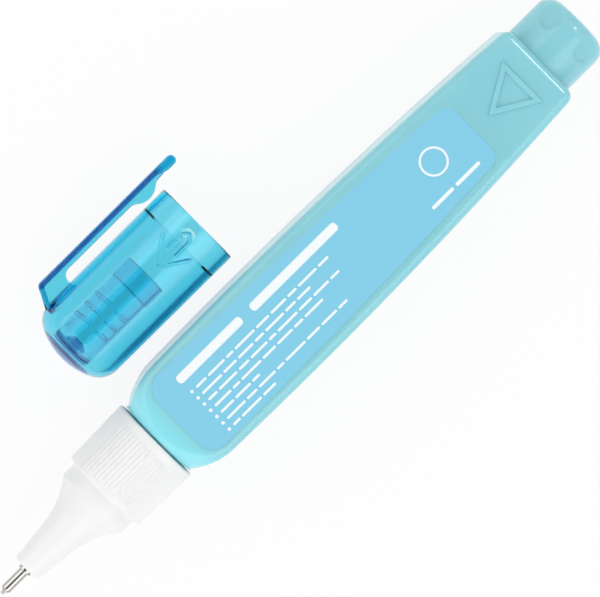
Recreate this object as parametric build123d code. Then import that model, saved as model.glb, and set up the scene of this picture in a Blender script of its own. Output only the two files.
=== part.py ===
from build123d import *
import math
import os

# A squeeze-bottle correction pen lying on its back face, its cap taken off and lying beside it.
# Frame: +X runs along the pen from the metal tip to the rear end, +Z points up out of the label face,
# and the origin is on the pen's axis at the front face of the collar, where the cap lands.
# All sizes are in millimetres. Names ending in _x are places along the pen, and the other names are sizes.

# Nozzle, outside
seat_diameter = 13.1
seat_length = 2.65
collar_length = 11.75
collar_rear_gap = 0.35
collar_step = 1.1
collar_flare = 0.3
collar_edge_radius = 0.4
flare_length = 7.85
flare_start_diameter = 6.56
cone_length = 7.0
cone_front_diameter = 5.0
cone_edge_radius = 0.35

# Grip ribs on two sides of the collar
rib_count = 15
rib_pitch_angle = 5.3
rib_width = 0.42
rib_height = 0.16
rib_length = 9.5
rib_front_gap = 0.75
rib_turn = -8.0

# Nozzle, inside
socket_clearance = 0.05
snap_clearance = 0.06
chamber_diameter = 8.4
chamber_depth = 5.4
plunger_bore_length = 9.8

# Bottle
bottle_thickness = 16.2
bottle_shoulder_width = 18.6
bottle_middle_width = 19.0
bottle_rear_width = 15.1
bottle_middle_length = 24.7
bottle_edge_radius = 1.5
bottle_corner_ease = 0.15
bottle_wall = 1.0
cavity_edge_radius = 0.9
cavity_corner_radius = 1.2

# Shoulder of the bottle, measured from its front face
shoulder_side_length = 7.7
shoulder_side_radius = 14.0
shoulder_side_angle = 42.0
lip_chamfer = 0.7
lip_step = 0.15
crease_length = 2.6
crease_diameter = 20.2
shoulder_length = 6.2
shoulder_diameter = 24.4

# Neck of the bottle
neck_diameter = 11.6
neck_wall = 1.2
neck_length = 9.1
bead_height = 0.3
bead_length = 2.2
bead_ramp = 0.8
bead_from_mouth = 3.0

# Rear post, which the cap can be parked on
post_clearance = 0.05
post_length = 9.15
post_end_radius = 2.5
post_wall = 1.2
scallop_count = 5
scallop_width = 4.2
scallop_depth = 0.5
scallop_length = 5.2

# Raised triangle on the label face, between the label and the rear end
triangle_from_label = 3.2
triangle_length = 7.7
triangle_width = 9.1
triangle_rib_width = 0.85
triangle_rib_height = 0.35
triangle_from_rear = 4.35

# Labels
label_front_gap = 4.2
label_length = 66.05
label_middle_length = 26.6
label_front_width = 15.5
label_middle_width = 14.9
label_rear_width = 12.2
label_front_corner = 3.2
label_rear_corner = 2.2
label_thickness = 0.1
label_recess_depth = 0.15
label_edge_gap = 0.12

# Neck gasket
gasket_thickness = 0.8
gasket_edge_gap = 0.1

# Metal tip, bored to clear the needle
needle_clearance = 0.12
orifice_clearance = 0.06
orifice_length = 0.5
tip_wall = 0.23
tip_front_wall = 0.18
tip_nose_length = 0.4
tip_tube_length = 4.4
tip_stem_step = 0.15
tip_flange_step = 0.2
tip_flange_thickness = 0.6

# Valve needle and its plunger
needle_nose_diameter = 0.72
needle_diameter = 1.0
needle_reach = 0.7
seat_gap = 0.03
plunger_diameter = 4.0
plunger_clearance = 0.1
plunger_length = 3.4
plunger_front_gap = 1.0
needle_grip_length = 2.6
flute_count = 3
flute_diameter = 1.3
spigot_length = 1.0

# Valve spring, guided at both ends by round posts
spring_wire = 0.32
spring_mean_diameter = 3.0
spring_turns = 5
spring_end_gap = 0.02
spring_guide_clearance = 0.19

# Spring retainer
retainer_thickness = 1.8
retainer_nub_length = 1.2
channel_width = 1.0
channel_depth = 0.8
channel_edge_gap = 0.7
flow_hole_diameter = 1.3
flow_hole_edge_gap = 0.75

# Mixing ball
ball_diameter = 6.4
ball_floor_gap = 0.03
ball_rest_x = 60.0

# Cap, flush with the collar's front edge when it is on
cap_length = 30.7
cap_crown_height = 0.8
cap_dome_edge_radius = 4.2
cap_mouth_clearance = 0.1
cap_mouth_depth = 4.2
cap_mouth_step = 0.2
cap_end_wall = 1.7
cap_inner_corner = 3.0
cap_rim_radius = 0.3
cap_closed_end_x = 10.2
cap_gap = 2.8

# Arrow and thumb dimple on the cap
arrow_length = 8.6
arrow_head_length = 5.4
arrow_head_width = 8.3
arrow_shaft_length = 4.7
arrow_shaft_width = 2.6
arrow_point_length = 1.2
arrow_rib_width = 0.8
arrow_rib_height = 0.3
arrow_from_mouth = 1.7
dimple_length = 2.4
dimple_width = 3.0
dimple_depth = 0.25
dimple_from_mouth = 2.6

# Pocket clip of the cap
clip_width = 5.0
clip_thickness = 1.65
clip_gap = 1.75
clip_overhang = 4.8
clip_edge_radius = 0.45
clip_root_start = 3.6
clip_root_slope = 2.0
clip_root_end = 9.5
clip_root_radius = 1.4
clip_root_overlap = 0.6
clip_base_radius = 0.15
clip_corner_radius = 0.75
clip_corner_limit = 0.46
bump_length = 5.4
bump_top_length = 2.0
bump_height = 1.2
bump_radius = 1.0

# Inner sleeve of the cap, whose mouth closes round the nozzle's cone
sleeve_seal_step = 0.08
sleeve_mouth_gap = 1.1
sleeve_wall = 0.45
sleeve_socket_depth = 0.3
sleeve_base = 1.35
sleeve_lip_height = 0.18
sleeve_lip_length = 3.7
sleeve_mouth_chamfer = 0.25
pip_diameter = 3.8
pip_height = 1.45
pip_edge_radius = 1.4
ridge_count = 3
ridge_pitch = 2.24
ridge_first = 5.2
ridge_width = 0.7
ridge_height = 0.22
ridge_angle = 52.0
ridge_turn = 33.0
ridge_sides = 4

# Sizes that follow from the ones above
collar_front_diameter = seat_diameter + 2 * collar_step
collar_rear_diameter = collar_front_diameter + 2 * collar_flare
socket_diameter = neck_diameter + 2 * socket_clearance
plunger_bore_diameter = plunger_diameter + 2 * plunger_clearance
bottle_label_length = label_front_gap + label_length + triangle_from_label
bottle_length = bottle_label_length + triangle_length + triangle_from_rear
bottle_corner_radius = bottle_edge_radius + bottle_corner_ease
lip_diameter = collar_rear_diameter + 2 * lip_step
neck_bore_diameter = neck_diameter - 2 * neck_wall
orifice_diameter = needle_nose_diameter + 2 * orifice_clearance
tip_bore_diameter = needle_diameter + 2 * needle_clearance
tip_front_diameter = orifice_diameter + 2 * tip_front_wall
tip_tube_diameter = tip_bore_diameter + 2 * tip_wall
tip_stem_diameter = tip_tube_diameter + 2 * tip_stem_step
tip_flange_diameter = tip_stem_diameter + 2 * tip_flange_step
spring_guide_diameter = spring_mean_diameter - spring_wire - 2 * spring_guide_clearance
channel_reach = chamber_diameter / 2 - channel_edge_gap
flow_hole_offset = chamber_diameter / 2 - flow_hole_edge_gap - flow_hole_diameter / 2
cap_diameter = collar_front_diameter
cap_mouth_diameter = seat_diameter + 2 * cap_mouth_clearance
cap_bore_diameter = cap_mouth_diameter - 2 * cap_mouth_step
cap_dome_length = cap_dome_edge_radius + cap_crown_height
cap_beside = bottle_middle_width / 2 + cap_gap + cap_diameter / 2
post_diameter = cap_mouth_diameter - 2 * post_clearance
sleeve_bore_diameter = flare_start_diameter - 2 * sleeve_seal_step
sleeve_diameter = sleeve_bore_diameter + 2 * sleeve_wall
sleeve_lip_diameter = sleeve_diameter + 2 * sleeve_lip_height
sleeve_base_depth = cap_end_wall - sleeve_socket_depth
sleeve_length = cap_length - sleeve_base_depth - seat_length - flare_length - sleeve_mouth_gap

# Places along the pen that several pieces share
flare_end_x = -seat_length
flare_start_x = flare_end_x - flare_length
nozzle_front_x = flare_start_x - cone_length
bottle_front_x = collar_length + collar_rear_gap
neck_mouth_x = bottle_front_x - neck_length
socket_floor_x = neck_mouth_x - gasket_thickness
chamber_floor_x = socket_floor_x - chamber_depth
bore_front_x = chamber_floor_x - plunger_bore_length
bottle_rear_x = bottle_front_x + bottle_length
post_end_x = bottle_rear_x + post_length
table_z = -bottle_thickness / 2
face_z = bottle_thickness / 2
tip_front_x = nozzle_front_x - tip_flange_thickness - tip_tube_length
needle_front_x = tip_front_x - needle_reach
plunger_front_x = bore_front_x + plunger_front_gap
plunger_rear_x = plunger_front_x + plunger_length


def turned(*edges):
    """A solid of revolution about the X axis, from the closed half profile that the edges make."""
    return revolve(make_face(edges), Axis.X)


def turned_corners(*corners):
    """A solid of revolution about the X axis, from the corners (x, radius) of its half profile."""
    return turned(Polyline(*corners, close=True))


def rod(start_x, end_x, diameter):
    """A plain round bar along the X axis."""
    return turned_corners((start_x, 0), (end_x, 0), (end_x, diameter / 2), (start_x, diameter / 2))


def around_x(shape, count, first=0.0):
    """Copies of a shape spaced evenly round the X axis."""
    return [Rot(X=first + 360 * index / count) * shape for index in range(count)]


def mirrored_face(*upper_edges):
    """A face in the XY plane between a chain of edges and its mirror image across the X axis."""
    lower_edges = [mirror(edge, Plane.XZ) for edge in upper_edges]
    first = upper_edges[0] @ 0
    last = upper_edges[-1] @ 1
    rear = Line(first, (first.X, -first.Y))
    front = Line(last, (last.X, -last.Y))
    return make_face([*upper_edges, *lower_edges, rear, front])


def end_corners_rounded(face, front_radius, rear_radius):
    """The face with its two corners at each end of its length rounded."""
    face = fillet(face.vertices().group_by(Axis.X)[-1], rear_radius)
    return fillet(face.vertices().group_by(Axis.X)[0], front_radius)


def triangle_ring(apex_x, length, width, rib_width):
    """A triangular outline of even rib width in the XY plane, its apex towards the tip."""
    base_x = apex_x + length
    outer = make_face(Polyline((apex_x, 0), (base_x, width / 2), (base_x, -width / 2), close=True))
    return outer - offset(outer, -rib_width, kind=Kind.INTERSECTION)


def arrow_mark():
    """Flat outline of the cap's arrow: an open head towards the closed end, and a shaft with a pointed end."""
    end_x = cap_length - arrow_from_mouth
    side_x = end_x - arrow_point_length
    start_x = end_x - arrow_shaft_length
    apex_x = end_x - arrow_length
    half = arrow_shaft_width / 2
    head = triangle_ring(apex_x, arrow_head_length + arrow_rib_width, arrow_head_width, arrow_rib_width)
    base = Rectangle(arrow_rib_width, arrow_head_width)
    head -= Pos(apex_x + arrow_head_length + arrow_rib_width / 2, 0) * base
    sides = [(start_x, half), (side_x, half), (end_x, 0), (side_x, -half), (start_x, -half)]
    shaft = make_face(Polyline(*sides, close=True))
    shaft -= offset(shaft, -arrow_rib_width, kind=Kind.INTERSECTION)
    mouth = Rectangle(arrow_rib_width, arrow_shaft_width - 2 * arrow_rib_width)
    shaft -= Pos(start_x + arrow_rib_width / 2, 0) * mouth
    return [head, shaft]


def bottle_plan():
    """Outline of the bottle seen from above, run on past its front face, where the shoulder trims it."""
    side = ThreePointArc(
        (bottle_rear_x, bottle_rear_width / 2),
        (bottle_front_x + bottle_middle_length, bottle_middle_width / 2),
        (bottle_front_x + shoulder_side_length, bottle_shoulder_width / 2),
    )
    nose = JernArc(side @ 1, side % 1, shoulder_side_radius, shoulder_side_angle)
    return end_corners_rounded(mirrored_face(side, nose), bottle_corner_radius, bottle_corner_radius)


def slab(plan, half_thickness, edge_radius):
    """A flat block over an outline, its upper and lower edges rounded."""
    block = extrude(plan, half_thickness, both=True)
    levels = block.faces().sort_by(Axis.Z)
    return fillet(levels[0].edges() + levels[-1].edges(), edge_radius)


def shoulder_envelope(inset):
    """The turned form that trims the front of the bottle to its round lip and creased shoulder."""
    front_x = bottle_front_x + inset
    lip_x = front_x + lip_chamfer
    lip = (lip_x, lip_diameter / 2 - inset)
    end = (front_x + shoulder_length, shoulder_diameter / 2 - inset)
    clear = (front_x + bottle_length / 2, shoulder_diameter / 2 + bottle_thickness / 2)
    return turned(
        Polyline((front_x, 0), (front_x, lip[1] - lip_chamfer), lip),
        ThreePointArc(lip, (front_x + crease_length, crease_diameter / 2 - inset), end),
        Polyline(end, clear, (post_end_x, clear[1]), (post_end_x, 0)),
        Line((post_end_x, 0), (front_x, 0)),
    )


def neck_bead(mouth_x, core_radius, crest_radius, growth):
    """The snap bead round the neck, or the groove that takes it when grown by a clearance."""
    start = mouth_x + bead_from_mouth - growth
    end = mouth_x + bead_from_mouth + bead_length + growth
    return turned_corners(
        (start, 0),
        (end, 0),
        (end, core_radius),
        (end - bead_ramp / 2, crest_radius),
        (start + bead_ramp, crest_radius),
        (start, core_radius),
    )


def rounded_rod(start_x, end_x, diameter, end_radius):
    """A round bar along the X axis whose far end has a rounded edge."""
    corners = [(start_x, 0), (end_x, 0), (end_x, diameter / 2), (start_x, diameter / 2)]
    face = make_face(Polyline(*corners, close=True))
    corner = face.vertices().sort_by(lambda vertex: vertex.X + vertex.Y)[-1]
    return revolve(fillet(corner, end_radius), Axis.X)


def rear_post():
    """The closed round post at the rear, with scallops round its end."""
    post = rounded_rod(bottle_rear_x - bottle_wall, post_end_x, post_diameter, post_end_radius)
    scallop_x = post_end_x - scallop_length + scallop_width / 2
    run = post_end_x - scallop_x + post_end_radius
    outline = Pos(scallop_x, 0) * Circle(scallop_width / 2)
    outline += Pos(scallop_x + run / 2, 0) * Rectangle(run, scallop_width)
    scallop = Pos(0, 0, post_diameter / 2 - scallop_depth) * extrude(outline, 2 * scallop_depth)
    return post - around_x(scallop, scallop_count, 180 / scallop_count)


def label_plan():
    """Outline of a label: sides that follow the bottle, rounded corners."""
    front_x = bottle_front_x + label_front_gap
    side = ThreePointArc(
        (front_x + label_length, label_rear_width / 2),
        (front_x + label_middle_length, label_middle_width / 2),
        (front_x, label_front_width / 2),
    )
    return end_corners_rounded(mirrored_face(side), label_front_corner, label_rear_corner)


def make_label(side):
    """One label film on the floor of its recess, on the upper (1) or lower (-1) face."""
    floor_z = face_z - label_recess_depth
    film = Pos(0, 0, floor_z) * extrude(label_plan(), label_thickness)
    return film if side > 0 else mirror(film, Plane.XY)


def make_bottle():
    plan = bottle_plan()
    body = slab(plan, bottle_thickness / 2, bottle_edge_radius) & shoulder_envelope(0)
    body += rod(neck_mouth_x, bottle_front_x + bottle_wall, neck_diameter)
    neck_radius = neck_diameter / 2
    body += neck_bead(neck_mouth_x, neck_radius, neck_radius + bead_height, 0)
    body += rear_post()

    inner_plan = offset(plan, -bottle_wall)
    cavity = slab(inner_plan, bottle_thickness / 2 - bottle_wall, cavity_edge_radius)
    cavity = cavity & shoulder_envelope(bottle_wall)
    cavity += rod(neck_mouth_x, bottle_front_x + 2 * bottle_wall, neck_bore_diameter)
    post_bore = post_diameter - 2 * post_wall
    post_bore_start_x = bottle_rear_x - 2 * bottle_wall
    cavity += rounded_rod(post_bore_start_x, post_end_x - post_wall, post_bore, cavity_corner_radius)
    body -= cavity

    recess = extrude(offset(label_plan(), label_edge_gap), label_recess_depth)
    recess = Pos(0, 0, face_z - label_recess_depth) * recess
    body -= [recess, mirror(recess, Plane.XY)]

    apex_x = bottle_rear_x - triangle_from_rear - triangle_length
    ring = triangle_ring(apex_x, triangle_length, triangle_width, triangle_rib_width)
    body += Pos(0, 0, face_z) * extrude(ring, triangle_rib_height)
    return body


def nozzle_ribs():
    """The fine grip ribs on the upper and lower sides of the tapered collar."""
    taper = math.degrees(math.atan2(collar_flare, collar_length))
    middle_x = rib_front_gap + rib_length / 2
    surface = collar_front_diameter / 2 + collar_flare * middle_x / collar_length
    outline = SlotOverall(rib_length, rib_width)
    rib = Pos(middle_x, 0, surface) * Rot(Y=-taper) * extrude(outline, rib_height, both=True)
    ribs = []
    for patch_turn in (rib_turn, rib_turn + 180):
        for index in range(rib_count):
            ribs.append(Rot(X=patch_turn + (index - (rib_count - 1) / 2) * rib_pitch_angle) * rib)
    return ribs


def make_nozzle():
    front_radius = cone_front_diameter / 2
    flare_start = (flare_start_x, flare_start_diameter / 2)
    flare_end = (flare_end_x, seat_diameter / 2)
    cone_direction = Vector(cone_length, flare_start[1] - front_radius)
    outside = turned(
        Polyline((nozzle_front_x, 0), (nozzle_front_x, front_radius), flare_start),
        TangentArc(flare_start, flare_end, tangent=cone_direction),
        Polyline(flare_end, (0, seat_diameter / 2), (0, collar_front_diameter / 2)),
        Line((0, collar_front_diameter / 2), (collar_length, collar_rear_diameter / 2)),
        Polyline((collar_length, collar_rear_diameter / 2), (collar_length, 0), (nozzle_front_x, 0)),
    )
    rims = outside.edges().filter_by(GeomType.CIRCLE)
    collar_rims = [rim for rim in rims if rim.radius > (seat_diameter + collar_front_diameter) / 4]
    outside = fillet(collar_rims, collar_edge_radius)
    outside = fillet(outside.edges().filter_by(GeomType.CIRCLE).sort_by(Axis.X)[:1], cone_edge_radius)
    outside += nozzle_ribs()
    socket_radius = socket_diameter / 2
    inside = [
        rod(socket_floor_x, collar_length, socket_diameter),
        neck_bead(neck_mouth_x, socket_radius, socket_radius + bead_height, snap_clearance),
        rod(chamber_floor_x, socket_floor_x, chamber_diameter),
        rod(bore_front_x, chamber_floor_x, plunger_bore_diameter),
        rod(nozzle_front_x, bore_front_x, tip_stem_diameter),
    ]
    return outside - inside


def make_neck_gasket():
    outer = rod(socket_floor_x, neck_mouth_x, socket_diameter - 2 * gasket_edge_gap)
    return outer - rod(socket_floor_x, neck_mouth_x, neck_bore_diameter)


def make_metal_tip():
    nose_x = tip_front_x + tip_nose_length
    flange_x = nozzle_front_x - tip_flange_thickness
    seat_front_x = tip_front_x + orifice_length
    seat_rear_x = seat_front_x + (tip_bore_diameter - orifice_diameter) / 2
    outside = turned_corners(
        (tip_front_x, 0),
        (tip_front_x, tip_front_diameter / 2),
        (nose_x, tip_tube_diameter / 2),
        (flange_x, tip_tube_diameter / 2),
        (flange_x, tip_flange_diameter / 2),
        (nozzle_front_x, tip_flange_diameter / 2),
        (nozzle_front_x, tip_stem_diameter / 2),
        (bore_front_x, tip_stem_diameter / 2),
        (bore_front_x, 0),
    )
    inside = turned_corners(
        (tip_front_x, 0),
        (tip_front_x, orifice_diameter / 2),
        (seat_front_x, orifice_diameter / 2),
        (seat_rear_x, tip_bore_diameter / 2),
        (bore_front_x, tip_bore_diameter / 2),
        (bore_front_x, 0),
    )
    return outside - inside


def make_valve_needle():
    nose_radius = needle_nose_diameter / 2
    seat_front_x = tip_front_x + orifice_length + seat_gap
    cone_front_x = seat_front_x - (orifice_diameter - needle_nose_diameter) / 2
    cone_rear_x = cone_front_x + (needle_diameter - needle_nose_diameter) / 2
    end_x = plunger_front_x + needle_grip_length
    crown_x = needle_front_x + nose_radius
    middle = nose_radius * math.sqrt(0.5)
    return turned(
        ThreePointArc((needle_front_x, 0), (crown_x - middle, middle), (crown_x, nose_radius)),
        Polyline((crown_x, nose_radius), (cone_front_x, nose_radius), (cone_rear_x, needle_diameter / 2)),
        Polyline((cone_rear_x, needle_diameter / 2), (end_x, needle_diameter / 2), (end_x, 0)),
        Line((end_x, 0), (needle_front_x, 0)),
    )


def make_needle_plunger():
    body = rod(plunger_front_x, plunger_rear_x, plunger_diameter)
    flute = Pos(0, 0, plunger_diameter / 2) * rod(plunger_front_x, plunger_rear_x, flute_diameter)
    body -= around_x(flute, flute_count)
    body += rod(plunger_rear_x, plunger_rear_x + spigot_length, spring_guide_diameter)
    return body - rod(plunger_front_x, plunger_front_x + needle_grip_length, needle_diameter)


def helix_point(angle, pitch, radius, start_x):
    """Place and direction on a helix about the X axis, at an angle in degrees."""
    turn = math.radians(angle)
    place = Vector(start_x + pitch * angle / 360, radius * math.cos(turn), radius * math.sin(turn))
    direction = Vector(pitch / (2 * math.pi), -radius * math.sin(turn), radius * math.cos(turn))
    return place, direction.normalized()


def biarc(start, start_direction, end, end_direction):
    """Two tangent arcs from one place and direction to another."""
    chord = end - start
    total = start_direction + end_direction
    spread = 2 * (1 - start_direction.dot(end_direction))
    along = chord.dot(total)
    reach = (math.sqrt(along * along + spread * chord.dot(chord)) - along) / spread
    middle = (start + start_direction * reach + end - end_direction * reach) * 0.5
    middle_direction = (end - end_direction * reach - start - start_direction * reach).normalized()
    return [
        TangentArc(start, middle, tangent=start_direction),
        TangentArc(middle, end, tangent=middle_direction),
    ]


def make_valve_spring():
    start_x = plunger_rear_x + spring_wire / 2 + spring_end_gap
    end_x = chamber_floor_x - spring_wire / 2 - spring_end_gap
    pitch = (end_x - start_x) / spring_turns
    radius = spring_mean_diameter / 2
    steps = [helix_point(90 * quarter, pitch, radius, start_x) for quarter in range(4 * spring_turns + 1)]
    arcs = []
    for (start, start_direction), (end, end_direction) in zip(steps, steps[1:]):
        arcs.extend(biarc(start, start_direction, end, end_direction))
    path = Wire(arcs)
    wire = sweep(Plane(path @ 0, z_dir=path % 0) * Circle(spring_wire / 2), path)
    print("valve spring: pitch %.3f mm, gap between turns %.3f mm" % (pitch, pitch - spring_wire))
    return wire


def make_spring_retainer():
    front_x = chamber_floor_x
    rear_x = chamber_floor_x + retainer_thickness
    body = rod(front_x, rear_x, chamber_diameter)
    channel = Pos(front_x, 0, 0) * Box(2 * channel_depth, 2 * channel_reach, channel_width)
    body -= around_x(channel, 4)[:2]
    flow_hole = Pos(0, flow_hole_offset, 0) * rod(front_x, rear_x, flow_hole_diameter)
    body -= around_x(flow_hole, 4)
    nub_base_x = front_x + channel_depth
    return body + rod(front_x - retainer_nub_length, nub_base_x, spring_guide_diameter)


def make_mixing_ball():
    floor_z = table_z + bottle_wall + ball_floor_gap
    return Pos(ball_rest_x, 0, floor_z + ball_diameter / 2) * Sphere(ball_diameter / 2)


def cap_place():
    """Where the cap lies: beside the pen on the same table, its closed end towards the tip."""
    return Pos(cap_closed_end_x, cap_beside, table_z + cap_diameter / 2)


def make_clip():
    """The pocket clip, on the side of the cap away from the pen, with its root run into the cap's wall."""
    wall_radius = cap_diameter / 2
    inner = wall_radius + clip_gap
    outer = inner + clip_thickness
    end_x = cap_length + clip_overhang
    base = wall_radius - clip_root_overlap
    bump_slope = (bump_length - bump_top_length) / 2
    bump_start = cap_length - bump_length
    corner_radius = min(clip_corner_radius, clip_corner_limit * clip_thickness)
    corners = [
        (clip_root_start, base, clip_base_radius),
        (clip_root_start + clip_root_slope, outer, corner_radius),
        (end_x, outer, corner_radius),
        (end_x, inner, corner_radius),
        (cap_length, inner, bump_radius),
        (cap_length - bump_slope, inner - bump_height, bump_radius),
        (bump_start + bump_slope, inner - bump_height, bump_radius),
        (bump_start, inner, bump_radius),
        (clip_root_end, inner, clip_root_radius),
        (clip_root_end, base, clip_base_radius),
    ]
    places = [(x, radius) for x, radius, _ in corners]
    rounding = [fillet_radius for _, _, fillet_radius in corners]
    profile = make_face(FilletPolyline(*places, radius=rounding, close=True))
    clip = extrude(profile, clip_width / 2, both=True)
    sides = clip.faces().sort_by(Axis.Z)
    rims = sides[0].edges() + sides[-1].edges()
    return fillet([rim for rim in rims if rim.center().Y > base + clip_edge_radius / 2], clip_edge_radius)


def make_cap():
    radius = cap_diameter / 2
    edge_centre = (cap_dome_length, radius - cap_dome_edge_radius)
    crown_radius = math.hypot(*edge_centre) ** 2 - cap_dome_edge_radius**2
    crown_radius /= 2 * (cap_dome_length - cap_dome_edge_radius)
    crown_share = crown_radius / (crown_radius - cap_dome_edge_radius)
    crown_end = (crown_radius + (edge_centre[0] - crown_radius) * crown_share, edge_centre[1] * crown_share)
    crown = TangentArc((0, 0), crown_end, tangent=(0, 1))
    shell = turned(
        crown,
        TangentArc(crown_end, (cap_dome_length, radius), tangent=crown % 1),
        Polyline((cap_dome_length, radius), (cap_length, radius), (cap_length, 0), (0, 0)),
    )
    shell = fillet(shell.edges().filter_by(GeomType.CIRCLE).sort_by(Axis.X)[-1:], cap_rim_radius)
    shell += make_clip()

    dimple = extrude(Ellipse(dimple_length / 2, dimple_width / 2), 2 * dimple_depth)
    shell -= Pos(cap_length - dimple_from_mouth, 0, radius - dimple_depth) * dimple
    for outline in arrow_mark():
        shell += extrude(outline, cap_diameter) & rod(0, cap_length, cap_diameter + 2 * arrow_rib_height)

    bore = rod(cap_end_wall, cap_length, cap_bore_diameter)
    bore = fillet(bore.edges().filter_by(GeomType.CIRCLE).sort_by(Axis.X)[:1], cap_inner_corner)
    mouth = rod(cap_length - cap_mouth_depth, cap_length, cap_mouth_diameter)
    socket = rod(sleeve_base_depth, cap_length, sleeve_diameter)
    return cap_place() * (shell - [bore, mouth, socket])


def sleeve_ridges(ridge_x):
    """Short raised ridges round the sleeve at one place along it, parted by plain gaps."""
    half_angle = math.radians(ridge_angle / 2)
    reach = 2 * sleeve_diameter
    half_width = reach * math.tan(half_angle)
    sector = make_face(Polyline((0, 0), (reach, -half_width), (reach, half_width), close=True))
    wedge = Pos(ridge_x, 0, 0) * (Plane.YZ * extrude(sector, ridge_width))
    ring = rod(ridge_x, ridge_x + ridge_width, sleeve_diameter + 2 * ridge_height)
    ring -= rod(ridge_x, ridge_x + ridge_width, sleeve_diameter - sleeve_wall)
    return [ring & copy for copy in around_x(wedge, ridge_sides, ridge_turn)]


def make_cap_inner_sleeve():
    base_x = sleeve_base_depth
    mouth_x = base_x + sleeve_length
    lip_x = mouth_x - sleeve_lip_length
    lip_radius = sleeve_lip_diameter / 2
    outside = turned_corners(
        (base_x, 0),
        (base_x, sleeve_diameter / 2),
        (lip_x, sleeve_diameter / 2),
        (lip_x, lip_radius),
        (mouth_x - sleeve_mouth_chamfer, lip_radius),
        (mouth_x, lip_radius - sleeve_mouth_chamfer),
        (mouth_x, 0),
    )
    sleeve = outside - rod(base_x + sleeve_base, mouth_x, sleeve_bore_diameter)
    sleeve += rounded_rod(base_x, base_x + sleeve_base + pip_height, pip_diameter, pip_edge_radius)
    for index in range(ridge_count):
        sleeve += sleeve_ridges(base_x + ridge_first + ridge_pitch * index)
    return cap_place() * sleeve


pieces = {
    "bottle": make_bottle(),
    "front_label": make_label(1),
    "back_label": make_label(-1),
    "mixing_ball": make_mixing_ball(),
    "neck_gasket": make_neck_gasket(),
    "nozzle": make_nozzle(),
    "metal_tip": make_metal_tip(),
    "valve_needle": make_valve_needle(),
    "needle_plunger": make_needle_plunger(),
    "valve_spring": make_valve_spring(),
    "spring_retainer": make_spring_retainer(),
    "cap": make_cap(),
    "cap_inner_sleeve": make_cap_inner_sleeve(),
}

os.makedirs("parts", exist_ok=True)
for name, piece in pieces.items():
    export_step(piece, os.path.join("parts", name + ".step"))
    print("%-18s %d solid(s), %10.2f mm3" % (name, len(piece.solids()), piece.volume))
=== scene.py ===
"""Looks of the correction pen: moulded forms, materials, printed label, studio light and camera."""
import bmesh
import bpy
import math
import numpy as np
from mathutils import Matrix, Vector


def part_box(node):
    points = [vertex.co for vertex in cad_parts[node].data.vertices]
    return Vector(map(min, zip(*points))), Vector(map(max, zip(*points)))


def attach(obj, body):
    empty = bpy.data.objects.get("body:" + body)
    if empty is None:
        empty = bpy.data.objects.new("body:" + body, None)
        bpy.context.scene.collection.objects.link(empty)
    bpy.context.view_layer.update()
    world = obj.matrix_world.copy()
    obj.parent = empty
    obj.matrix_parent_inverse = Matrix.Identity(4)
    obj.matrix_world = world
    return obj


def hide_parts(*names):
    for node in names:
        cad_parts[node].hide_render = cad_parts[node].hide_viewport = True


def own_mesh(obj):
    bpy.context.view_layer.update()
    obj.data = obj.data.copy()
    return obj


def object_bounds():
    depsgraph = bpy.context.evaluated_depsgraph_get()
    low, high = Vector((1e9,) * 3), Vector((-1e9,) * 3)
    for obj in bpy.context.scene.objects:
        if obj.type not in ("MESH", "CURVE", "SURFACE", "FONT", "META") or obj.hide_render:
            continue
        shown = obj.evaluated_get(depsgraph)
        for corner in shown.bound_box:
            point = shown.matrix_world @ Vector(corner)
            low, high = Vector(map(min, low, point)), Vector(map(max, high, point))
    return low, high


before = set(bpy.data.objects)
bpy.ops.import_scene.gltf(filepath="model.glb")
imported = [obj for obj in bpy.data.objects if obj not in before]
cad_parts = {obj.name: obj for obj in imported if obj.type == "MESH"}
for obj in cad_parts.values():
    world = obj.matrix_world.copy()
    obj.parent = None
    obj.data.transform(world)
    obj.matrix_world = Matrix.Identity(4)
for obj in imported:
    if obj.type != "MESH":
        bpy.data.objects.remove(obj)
cad_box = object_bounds()

# Lengths below are in millimetres, in the frame's own axes, unless a comment says otherwise.
MM = 0.001
WELD = 0.000002       # metres
CREASE_ANGLE = 35.0   # degrees
QUARTER_TURN = math.pi / 2

# The photograph: its frame, its scale at the pen's axis, and how the pen lies in it
IMAGE_WIDTH = 600
PIXELS_PER_MM = 6.25
PEN_ANGLE = math.radians(44.78)
VIEW_CENTRE = Vector((43.97, -0.15, 0.0)) * MM
CAMERA_DISTANCE = 825.0
CAMERA_LEAN = math.radians(4.0)
SENSOR_WIDTH = 36.0


def box_mm(node):
    """Lowest and highest corner of a node, in millimetres."""
    low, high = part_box(node)
    return low / MM, high / MM


# Shapes

def smooth_step(value):
    """A smooth rise from 0 to 1 as the value goes from 0 to 1."""
    value = np.clip(value, 0.0, 1.0)
    return value * value * (3.0 - 2.0 * value)


def soft_min(a, b, blend):
    """The smaller of two values, rounded off where they meet."""
    share = np.clip(0.5 + 0.5 * (b - a) / blend, 0.0, 1.0)
    return b + (a - b) * share - blend * share * (1.0 - share)


def soft_max(a, b, blend):
    """The larger of two values, rounded off where they meet."""
    return -soft_min(-a, -b, blend)


def unit_rows(vectors):
    """Each row of an array brought to length 1."""
    return vectors / np.linalg.norm(vectors, axis=1)[:, None]


def even_angles(count):
    """Angles once round, evenly spaced."""
    return 2 * math.pi * np.arange(count) / count


def circle_through(a, b, c):
    """Centre and radius of the circle through three points."""
    (ax, ay), (bx, by), (cx, cy) = a, b, c
    scale = 2 * (ax * (by - cy) + bx * (cy - ay) + cx * (ay - by))
    squares = [ax * ax + ay * ay, bx * bx + by * by, cx * cx + cy * cy]
    x = (squares[0] * (by - cy) + squares[1] * (cy - ay) + squares[2] * (ay - by)) / scale
    y = (squares[0] * (cx - bx) + squares[1] * (ax - cx) + squares[2] * (bx - ax)) / scale
    return x, y, math.hypot(ax - x, ay - y)


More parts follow.
